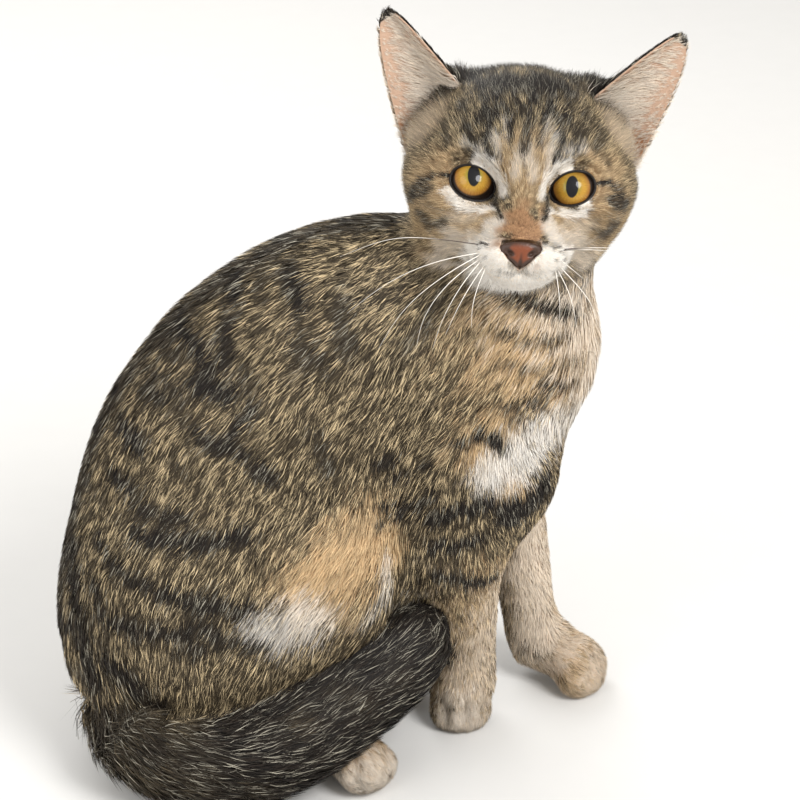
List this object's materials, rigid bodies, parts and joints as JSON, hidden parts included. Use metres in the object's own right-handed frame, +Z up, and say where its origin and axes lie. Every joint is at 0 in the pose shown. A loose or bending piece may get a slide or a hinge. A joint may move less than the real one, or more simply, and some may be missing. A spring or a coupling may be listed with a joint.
{
  "type": "sitting kitten, still model",
  "caption": "Life-size still model of a sitting tabby kitten, head turned to its right and tail curled round it, for display.",
  "frame": {"origin": "on the floor, under the middle of the whole model's box", "axes": "+X forwards along the body from rump to chest, +Y to the kitten's left, +Z up"},
  "size_m": [0.2252, 0.1264, 0.2694],
  "materials": {
    "fur_agouti": "soft dense coat, brown agouti with dark broken bars",
    "fur_pale": "short close fur, cream to buff",
    "fur_tail": "long loose fur, near black with grey ticking",
    "ear_skin": "thin pinkish ear, finely haired",
    "eye": "wet glossy ball with an amber iris and a dark upright pupil"
  },
  "bodies": {
    "root": {"ear_right": "ear_skin", "ear_left": "ear_skin", "eye_right": "eye", "eye_left": "eye", "tail_base": "fur_tail", "tail_middle": "fur_tail", "tail_tip": "fur_tail", "head": "fur_agouti", "neck": "fur_agouti", "trunk": "fur_agouti", "foreleg_right": "fur_agouti", "foreleg_left": "fur_agouti", "hindleg_right": "fur_agouti", "hindleg_left": "fur_agouti", "paw_front_right": "fur_pale", "paw_front_left": "fur_pale", "paw_hind_right": "fur_pale", "paw_hind_left": "fur_pale"}
  },
  "joints": []
}
